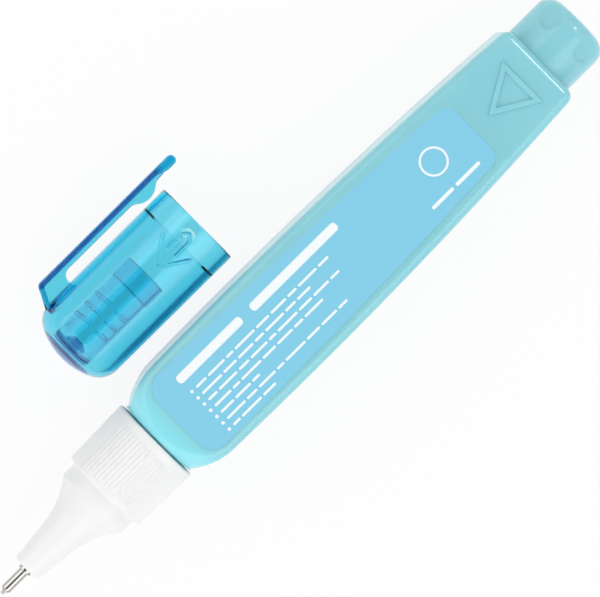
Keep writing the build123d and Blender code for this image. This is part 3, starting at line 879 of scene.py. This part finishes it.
def make_metal_tip():
    """The turned metal tip: tapered nose, tube, flange against the nozzle, stem."""
    flange_x = NOZZLE_FRONT - TIP_FLANGE_LENGTH
    profile = rounded([
        (TIP_FRONT, TIP_HOLE, 0),
        (TIP_FRONT, TIP_NOSE_RADIUS, TIP_NOSE_EDGE),
        (TIP_FRONT + TIP_NOSE_LENGTH, TIP_RADIUS, TIP_NOSE_BEND),
        (flange_x, TIP_RADIUS, TIP_FLANGE_ROOT),
        (flange_x, TIP_FLANGE_RADIUS, TIP_FLANGE_FRONT_EDGE),
        (NOZZLE_FRONT, TIP_FLANGE_RADIUS, TIP_FLANGE_REAR_EDGE),
        (NOZZLE_FRONT, TIP_BORE, 0),
        (TIP_REAR, TIP_BORE, 0),
        (TIP_REAR, TIP_INSIDE, 0),
        (TIP_FRONT + TIP_SEAT, TIP_INSIDE, 0),
        (TIP_FRONT + TIP_SEAT - TIP_INSIDE + TIP_HOLE, TIP_HOLE, 0),
    ], TIP_EDGE_STEPS)
    piece = new_object("metal_tip_turned", *turned(profile, even_angles(TIP_SEGMENTS)))
    dress(piece, "bright_metal", "pen", "metal_tip")


# Valve spring

SPRING_LOW, SPRING_HIGH = box_mm("valve_spring")
WIRE_RADIUS = 0.16
WIRE_SEGMENTS = 12
SPRING_RADIUS = SPRING_HIGH.y - WIRE_RADIUS
SPRING_TURNS = 5
SPRING_STEPS_PER_TURN = 36


def spring_rings():
    """Rings round the spring's wire, along its coil."""
    start, end = SPRING_LOW.x + WIRE_RADIUS, SPRING_HIGH.x - WIRE_RADIUS
    whole = 2 * math.pi * SPRING_TURNS
    round_wire = even_angles(WIRE_SEGMENTS)[:, None]
    rings = []
    for turn in np.linspace(0.0, whole, SPRING_TURNS * SPRING_STEPS_PER_TURN + 1):
        outward = np.array([0.0, math.cos(turn), math.sin(turn)])
        along = np.array([(end - start) / whole, -SPRING_RADIUS * outward[2], SPRING_RADIUS * outward[1]])
        side = np.cross(along / np.linalg.norm(along), outward)
        centre = SPRING_RADIUS * outward + np.array([start + (end - start) * turn / whole, 0.0, 0.0])
        section = np.cos(round_wire) * outward + np.sin(round_wire) * side
        rings.append(centre + WIRE_RADIUS * section)
    return rings


def make_spring():
    """The valve's coil spring, with a mesh of its own."""
    piece = new_object("valve_spring_coil", *skin(spring_rings(), "flat"))
    dress(piece, "bright_metal", "pen", "valve_spring")
    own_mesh(piece)


# Cap: places along it count from its closed end

SLEEVE_LOW, SLEEVE_HIGH = box_mm("cap_inner_sleeve")
SLEEVE_MIDDLE = (SLEEVE_LOW + SLEEVE_HIGH) / 2
CAP_ORIGIN = Vector((box_mm("cap")[0].x, SLEEVE_MIDDLE.y, SLEEVE_MIDDLE.z))
CAP_LENGTH = 30.7
CAP_RADIUS = 7.65
CROWN_HEIGHT = 0.8
CROWN_EDGE_RADIUS = 4.2
CROWN_POINTS = 12
CROWN_EDGE_POINTS = 14
CAP_RIM_RADIUS = 0.3
CAP_MOUTH_DEPTH = 4.2
CAP_MOUTH_RADIUS = 6.65
CAP_MOUTH_EDGE = 0.15
CAP_MOUTH_RAMP = 0.42
CAP_BORE = 6.45
CAP_END_WALL = 1.7
CAP_INNER_CORNER = 3.0
INNER_CORNER_STEPS = 10
CAP_SIDE_STEP = 1.0
CAP_MARKS_STEP = 0.12
CAP_INSIDE_STEP = 0.6
CAP_MARKS_ARC = (55.0, 125.0)   # degrees
CAP_FINE_ANGLE = 0.7            # degrees
CAP_PLAIN_ANGLE = 2.0           # degrees
CAP_CREASE_ANGLE = 20.0         # degrees
ARROW_HEAD = ((21.1, 0.0), (25.6, 3.0))
ARROW_SHAFT = ((24.5, 0.9), (27.6, 0.9), (28.5, 0.0))
ARROW_RIB_WIDTH = 0.8
ARROW_RIB_HEIGHT = 0.3
ARROW_RIB_SLOPE = ARROW_RIB_WIDTH / 3
DIMPLE_CENTRE = 28.1
DIMPLE_HALF_LENGTH = 1.2
DIMPLE_HALF_WIDTH = 1.5
DIMPLE_DEPTH = 0.25
DIMPLE_SOFTNESS = 0.4


def crown_profile():
    """The domed closed end: a shallow crown that turns into the side along a smaller arc."""
    centre = Vector((CROWN_EDGE_RADIUS + CROWN_HEIGHT, CAP_RADIUS - CROWN_EDGE_RADIUS))
    crown_radius = (centre.length_squared - CROWN_EDGE_RADIUS**2) / (2 * CROWN_HEIGHT)
    crown_middle = Vector((crown_radius, 0.0))
    spoke = (centre - crown_middle).normalized()
    meeting = math.atan2(spoke.y, -spoke.x)
    points = []
    for turn in np.linspace(0.0, meeting, CROWN_POINTS):
        points.append((crown_radius * (1 - math.cos(turn)), crown_radius * math.sin(turn)))
    for turn in np.linspace(meeting, QUARTER_TURN, CROWN_EDGE_POINTS)[1:]:
        x = centre.x - CROWN_EDGE_RADIUS * math.cos(turn)
        points.append((x, centre.y + CROWN_EDGE_RADIUS * math.sin(turn)))
    return points


def distance_to_run(x, y, run):
    """Distance of points from a run of straight lines."""
    nearest = np.full_like(x, np.inf)
    for (start_x, start_y), (end_x, end_y) in zip(run, run[1:]):
        along_x, along_y = end_x - start_x, end_y - start_y
        away_x, away_y = x - start_x, y - start_y
        share = np.clip((away_x * along_x + away_y * along_y) / (along_x**2 + along_y**2), 0.0, 1.0)
        nearest = np.minimum(nearest, np.hypot(away_x - share * along_x, away_y - share * along_y))
    return nearest


def cap_marks(x, radius, angle):
    """The raised arrow and the thumb dimple on the cap's upper side."""
    lateral = radius * np.cos(angle)
    side = np.abs(lateral)
    distance = np.minimum(distance_to_run(x, side, ARROW_HEAD), distance_to_run(x, side, ARROW_SHAFT))
    rib = ARROW_RIB_HEIGHT * smooth_step((ARROW_RIB_WIDTH / 2 - distance) / ARROW_RIB_SLOPE)
    reach = np.hypot((x - DIMPLE_CENTRE) / DIMPLE_HALF_LENGTH, lateral / DIMPLE_HALF_WIDTH)
    dimple = DIMPLE_DEPTH * smooth_step((1.0 - reach) / DIMPLE_SOFTNESS)
    upper_outside = (np.sin(angle) > 0) & (radius > CAP_RADIUS - CAP_RIM_RADIUS)
    return np.where(upper_outside, rib - dimple * (1 - rib / ARROW_RIB_HEIGHT), 0.0)


def cap_angles():
    """Angles round the cap, closer together on its upper side, where the marks are."""
    start, end = CAP_MARKS_ARC
    marked = np.arange(start, end, CAP_FINE_ANGLE)
    plain = np.arange(end, start + 360.0, CAP_PLAIN_ANGLE)
    return np.radians(np.concatenate([marked, plain]))


def cap_profile():
    """Half section of the cap's shell, from the crown's middle to the end wall's inside."""
    crown = crown_profile()
    step = CAP_LENGTH - CAP_MOUTH_DEPTH
    rim = rounded([
        (ARROW_HEAD[0][0] - ARROW_RIB_WIDTH, CAP_RADIUS, 0),
        (CAP_LENGTH, CAP_RADIUS, CAP_RIM_RADIUS),
        (CAP_LENGTH, CAP_MOUTH_RADIUS, CAP_MOUTH_EDGE),
        (step, CAP_MOUTH_RADIUS, 0),
    ])
    inside = rounded([
        (step, CAP_MOUTH_RADIUS, 0),
        (step - CAP_MOUTH_RAMP, CAP_BORE, 0),
        (CAP_END_WALL, CAP_BORE, CAP_INNER_CORNER),
        (CAP_END_WALL, 0.0, 0),
    ], INNER_CORNER_STEPS)
    side = dense([crown[-1], rim[0]], CAP_SIDE_STEP)[1:-1]
    marked = dense(rim[:2], CAP_MARKS_STEP)
    return crown + side + marked + rim[2:] + dense(inside[:-1], CAP_INSIDE_STEP)[1:] + inside[-1:]


# Pocket clip: corners (x, y, radius) of its two bars, from the middle of the cap's closed end

CLIP_WEB = (
    (9.5, 6.8, 0.5), (9.5, 9.4, 1.4), (25.3, 9.4, 1.2), (27.0, 8.2, 3.0), (29.0, 8.2, 3.0),
    (30.7, 9.4, 1.2), (34.0, 9.6, 0.3), (34.0, 10.7, 0.35), (5.95, 10.7, 0.5), (4.1, 6.8, 0.3),
)
WEB_HALF_WIDTH = 1.2
WEB_EDGE = 0.25
CLIP_SPINE = (
    (4.5, 6.9, 0.4), (6.15, 10.2, 0.9), (31.2, 10.2, 2.0), (33.2, 9.4, 2.0),
    (35.5, 9.4, 0.8), (35.5, 11.05, 0.8), (5.6, 11.05, 0.8), (3.5, 6.9, 0.4),
)
SPINE_HALF_WIDTH = 2.5
SPINE_EDGE = 0.38
CLIP_EDGE_POINTS = 6


def bar_skin(outline, half_width, edge):
    """Skin of an outline (x, y), run anticlockwise, carried to both sides in Z, with rounded edges."""
    path = np.array(rounded(outline))
    along = unit_rows(np.roll(path, -1, axis=0) - np.roll(path, 1, axis=0))
    inward = np.stack([-along[:, 1], along[:, 0]], axis=-1)
    rings = []
    for side in (-1, 1):
        for turn in np.linspace(0.0, QUARTER_TURN, CLIP_EDGE_POINTS)[::side]:
            level = side * (half_width - edge + edge * math.sin(turn))
            inset = path + inward * edge * (1 - math.cos(turn))
            rings.append(np.column_stack([inset, np.full(len(path), level)]))
    return skin(rings, "flat")


def make_cap():
    """The clear cap: domed shell and its pocket clip, a broad spine on a narrower web."""
    shell = new_object("cap_moulding", *turned(cap_profile(), cap_angles(), cap_marks), shift=CAP_ORIGIN)
    web = new_object("clip_web", *bar_skin(CLIP_WEB, WEB_HALF_WIDTH, WEB_EDGE), shift=CAP_ORIGIN)
    spine = new_object("clip_spine", *bar_skin(CLIP_SPINE, SPINE_HALF_WIDTH, SPINE_EDGE), shift=CAP_ORIGIN)
    piece = joined(shell, web, spine)
    shade(piece.data, CAP_CREASE_ANGLE)
    dress(piece, "clear_blue", "cap", "cap")


# Sleeve in the cap

SLEEVE_RADIUS = 3.65
SLEEVE_GAP = 0.02
SLEEVE_MOUTH = 19.1
SLEEVE_LIP_LENGTH = 3.7
SLEEVE_LIP_RADIUS = 3.83
SLEEVE_BORE = 3.2
SLEEVE_EDGE = 0.25
SLEEVE_FOOT_EDGE = 0.6
SLEEVE_FLOOR = 2.75
SLEEVE_FLOOR_CORNER = 0.3
SLEEVE_STEP = 0.1
SLEEVE_SEGMENTS = 180
PIP_RADIUS = 1.9
PIP_END = 4.2
PIP_EDGE = 1.4
PIP_ROOT = 0.1
RIDGE_START = 6.95
RIDGE_STEP = 2.24
RIDGE_COUNT = 3
RIDGE_WIDTH = 0.7
RIDGE_HEIGHT = 0.22
RIDGE_SLOPE = RIDGE_WIDTH / 4
RIDGE_MIDDLES = tuple(math.radians(angle) for angle in (33.0, 123.0, 213.0, 303.0))
RIDGE_HALF_ANGLE = math.radians(26.0)
RIDGE_END_ANGLE = RIDGE_HALF_ANGLE / 6


def sleeve_ridges(x, radius, angle):
    """How far the short ridges stand out round the sleeve."""
    across = np.zeros_like(x)
    for index in range(RIDGE_COUNT):
        offset = np.abs(x - RIDGE_START - RIDGE_STEP * index)
        across = np.maximum(across, smooth_step((RIDGE_WIDTH / 2 - offset) / RIDGE_SLOPE))
    around = np.zeros_like(x)
    for middle in RIDGE_MIDDLES:
        turn = np.abs((angle - middle + math.pi) % (2 * math.pi) - math.pi)
        around = np.maximum(around, smooth_step((RIDGE_HALF_ANGLE - turn) / RIDGE_END_ANGLE))
    return np.where(radius > SLEEVE_RADIUS - SLEEVE_GAP, RIDGE_HEIGHT * across * around, 0.0)


def make_sleeve():
    """The clear sleeve on the cap's end wall: lip at its mouth, short ridges, a pip on its floor."""
    foot = CAP_END_WALL + SLEEVE_GAP
    lip_start = SLEEVE_MOUTH - SLEEVE_LIP_LENGTH
    lip_step = SLEEVE_LIP_RADIUS - SLEEVE_RADIUS
    outside = rounded([
        (foot, 0.0, 0),
        (foot, SLEEVE_RADIUS, SLEEVE_FOOT_EDGE),
        (lip_start - lip_step, SLEEVE_RADIUS, 0),
        (lip_start, SLEEVE_LIP_RADIUS, 0),
        (SLEEVE_MOUTH, SLEEVE_LIP_RADIUS, SLEEVE_EDGE),
        (SLEEVE_MOUTH, SLEEVE_BORE, 0),
    ])
    inside = rounded([
        (SLEEVE_MOUTH, SLEEVE_BORE, 0),
        (SLEEVE_FLOOR, SLEEVE_BORE, SLEEVE_FLOOR_CORNER),
        (SLEEVE_FLOOR, PIP_RADIUS, PIP_ROOT),
        (PIP_END, PIP_RADIUS, PIP_EDGE),
        (PIP_END, 0.0, 0),
    ], INNER_CORNER_STEPS)
    profile = outside[:1] + dense(outside[1:], SLEEVE_STEP) + inside[1:]
    sleeve = turned(profile, even_angles(SLEEVE_SEGMENTS), sleeve_ridges)
    piece = new_object("cap_sleeve", *sleeve, shift=CAP_ORIGIN)
    dress(piece, "sleeve_blue", "cap", "cap_inner_sleeve", slot="clear_blue")


# Print on the labels: title bars, rows of plain bars after a dot, and a plain ring

PRINT_THICKNESS = 0.012
PRINT_SINK = 0.004
TITLE_BARS = ((20.96, 35.1), (37.3, 56.3))
TITLE_MIDDLE = 4.7
TITLE_HEIGHT = 1.5
ROW_TOP = 2.0
ROW_STEP = 1.4
ROW_HEIGHT = 0.4
ROW_DOT = 21.44
DOT_SIZE = 0.55
ROW_START = 22.4
ROW_ENDS = (52.0, 46.4, 52.3, 46.7, 31.0, 50.1, 31.8)
BAR_LENGTHS = (2.2, 3.6, 1.5, 4.3, 2.8, 3.3, 1.9, 4.0)
BAR_GAP = 0.45
SHORTEST_BAR = 0.9
ROW_SHIFT = 3
RING_CENTRE = (74.3, 0.9)
RING_OUTSIDE = 2.4
RING_INSIDE = 2.05
RING_SEGMENTS = 64
FOOT_BARS = ((68.9, 73.6), (74.2, 79.4))
FOOT_MIDDLE = -4.3
FOOT_HEIGHT = 0.6
CORNER_SHARE = 0.4
CORNER_STEPS = 4


def row_bars(row):
    """Bars of one row, after its dot. Each row starts further on in the list of lengths."""
    middle = ROW_TOP - ROW_STEP * row
    bars = [(ROW_DOT - DOT_SIZE / 2, ROW_DOT + DOT_SIZE / 2, middle, DOT_SIZE)]
    start = ROW_START
    count = row * ROW_SHIFT
    while start < ROW_ENDS[row] - SHORTEST_BAR:
        end = min(start + BAR_LENGTHS[count % len(BAR_LENGTHS)], ROW_ENDS[row])
        bars.append((start, end, middle, ROW_HEIGHT))
        start = end + BAR_GAP
        count += 1
    return bars


def bar_outline(low, high, middle, height):
    """Outline of a bar with rounded ends."""
    corner = height * CORNER_SHARE
    bottom, top = middle - height / 2, middle + height / 2
    places = ((low, bottom), (high, bottom), (high, top), (low, top))
    return rounded([(*place, corner) for place in places], CORNER_STEPS)


def print_layers(side):
    """Levels of the print's two faces on a label of the given side, up or down."""
    label = LABEL_HIGH.z if side > 0 else box_mm("back_label")[0].z
    return label - side * PRINT_SINK, label + side * PRINT_THICKNESS


def printed(name, outlines, side):
    """A thin raised print of flat outlines on a label, riding with the pen."""
    vertices, faces = [], []
    for outline in outlines:
        layers = [[(x, y * side, level) for x, y in outline] for level in print_layers(side)]
        more, skins = skin(layers, "flat")
        faces += [tuple(corner + len(vertices) for corner in face) for face in skins]
        vertices += more
    piece = new_object(name, vertices, faces)
    dress(piece, "white_ink", "pen", slot="label_film")


def make_ring():
    """The plain printed ring near the front label's rear end."""
    low, high = print_layers(1)
    section = [(RING_INSIDE, low), (RING_OUTSIDE, low), (RING_OUTSIDE, high), (RING_INSIDE, high)]
    centre_x, centre_y = RING_CENTRE
    rings = []
    for turn in even_angles(RING_SEGMENTS):
        across, up = math.cos(turn), math.sin(turn)
        rings.append([
            (centre_x + radius * across, centre_y + radius * up, level) for radius, level in section
        ])
    piece = new_object("printed_ring_front", *skin(rings))
    dress(piece, "white_ink", "pen", slot="label_film")


def print_labels():
    """The front label's print, and the back label's rows."""
    title = [bar_outline(low, high, TITLE_MIDDLE, TITLE_HEIGHT) for low, high in TITLE_BARS]
    rows = [bar_outline(*bar) for row in range(len(ROW_ENDS)) for bar in row_bars(row)]
    foot = [bar_outline(low, high, FOOT_MIDDLE, FOOT_HEIGHT) for low, high in FOOT_BARS]
    printed("front_print", title + rows + foot, 1)
    make_ring()
    printed("back_print", rows + foot, -1)


# Floor, light and camera: the floor and the lamps are in metres and watts

FLOOR_SIZE = 3.0
FLOOR_GAP = 0.00003
FLOOR_GLOW = 0.9
HORIZON_RANGE = {"From Min": 0.0, "From Max": 0.14, "To Min": 0.1, "To Max": 0.78}
ZENITH_RANGE = {"From Min": 0.8, "From Max": 0.93, "To Min": 1.0, "To Max": 0.15}
LIGHT_BOUNCES = 24

# Each lamp's place from the middle of the pen, width, height and power
LAMPS = {
    "key": ((-0.25, -0.7, 0.85), 1.0, 1.0, 3.8),
    "fill": ((-0.4, 0.75, 0.75), 1.0, 1.0, 3.2),
    "front": ((-0.85, -0.4, 0.35), 0.5, 0.5, 1.0),
    "spark": ((0.75, -0.066, 0.6), 0.03, 0.3, 1.1),
}


def floor_white():
    """Dull white, which glows where it is seen straight, in a mirror or through the clear cap."""
    shader = Shader("floor")
    shader.set(Base_Color=linear("f4f4f4"), Roughness=0.9, Specular_IOR_Level=0.0)
    rays = shader.node("ShaderNodeLightPath").outputs
    seen = shader.compute("ADD", rays["Is Camera Ray"], rays["Is Glossy Ray"], clamp=True)
    seen = shader.compute("ADD", seen, rays["Is Transmission Ray"], clamp=True)
    glow = shader.node("ShaderNodeEmission", {"Color": WHITE, "Strength": 1.0})
    share = shader.compute("MULTIPLY", seen, FLOOR_GLOW)
    shader.surface(share, shader.principled.outputs["BSDF"], glow.outputs["Emission"])
    return shader.material


def add_floor():
    """A plain white floor that keeps a soft shadow."""
    level = cad_box[0][2] - FLOOR_GAP
    half = FLOOR_SIZE / 2
    mesh = bpy.data.meshes.new("floor")
    corners = [(-half, -half, level), (half, -half, level), (half, half, level), (-half, half, level)]
    mesh.from_pydata(corners, [], [(0, 1, 2, 3)])
    mesh.materials.append(floor_white())
    floor = bpy.data.objects.new("floor", mesh)
    bpy.context.collection.objects.link(floor)


def add_room():
    """A white room all round, dim along the floor line and at the ceiling."""
    world = bpy.data.worlds.new("room")
    world.use_nodes = True
    nodes, links = world.node_tree.nodes, world.node_tree.links
    background = nodes["Background"]
    background.inputs["Color"].default_value = WHITE
    direction = nodes.new("ShaderNodeTexCoord")
    parts = nodes.new("ShaderNodeSeparateXYZ")
    links.new(direction.outputs["Generated"], parts.inputs["Vector"])
    strength = nodes.new("ShaderNodeMath")
    strength.operation = "MULTIPLY"
    for place, span in enumerate((HORIZON_RANGE, ZENITH_RANGE)):
        height = nodes.new("ShaderNodeMapRange")
        height.interpolation_type = "SMOOTHSTEP"
        for name, value in span.items():
            height.inputs[name].default_value = value
        links.new(parts.outputs["Z"], height.inputs["Value"])
        links.new(height.outputs["Result"], strength.inputs[place])
    links.new(strength.outputs["Value"], background.inputs["Strength"])
    bpy.context.scene.world = world


def add_lamp(name, place, width, height, power):
    """A soft light that faces the middle of the pen."""
    data = bpy.data.lights.new(name, "AREA")
    data.shape = "RECTANGLE"
    data.size = width
    data.size_y = height
    data.energy = power
    light = bpy.data.objects.new(name, data)
    light.location = VIEW_CENTRE + Vector(place)
    light.rotation_euler = (-Vector(place)).to_track_quat("-Z", "Y").to_euler()
    bpy.context.collection.objects.link(light)


def add_camera():
    """A camera above the pen, turned so that the pen lies across the picture as in the photograph."""
    data = bpy.data.cameras.new("camera")
    data.sensor_width = SENSOR_WIDTH
    data.lens = SENSOR_WIDTH * PIXELS_PER_MM * CAMERA_DISTANCE / IMAGE_WIDTH
    along = Vector((1.0, 0.0, 0.0))
    across = Vector((0.0, math.cos(CAMERA_LEAN), -math.sin(CAMERA_LEAN)))
    back = Vector((0.0, math.sin(CAMERA_LEAN), math.cos(CAMERA_LEAN)))
    right = along * math.cos(PEN_ANGLE) - across * math.sin(PEN_ANGLE)
    up = along * math.sin(PEN_ANGLE) + across * math.cos(PEN_ANGLE)
    turn = Matrix((right, up, back)).transposed().to_4x4()
    camera = bpy.data.objects.new("camera", data)
    camera.matrix_world = Matrix.Translation(VIEW_CENTRE + back * CAMERA_DISTANCE * MM) @ turn
    bpy.context.collection.objects.link(camera)
    bpy.context.scene.camera = camera


def follow_light():
    """Follows light through all of the clear cap's walls."""
    paths = bpy.context.scene.cycles
    paths.max_bounces = LIGHT_BOUNCES
    paths.glossy_bounces = LIGHT_BOUNCES
    paths.transmission_bounces = LIGHT_BOUNCES


dress_nodes()
make_bottle()
make_nozzle()
make_metal_tip()
make_spring()
make_cap()
make_sleeve()
print_labels()
add_floor()
add_room()
for lamp, settings in LAMPS.items():
    add_lamp(lamp, *settings)
add_camera()
follow_light()
bpy.context.scene.view_settings.view_transform = "Standard"
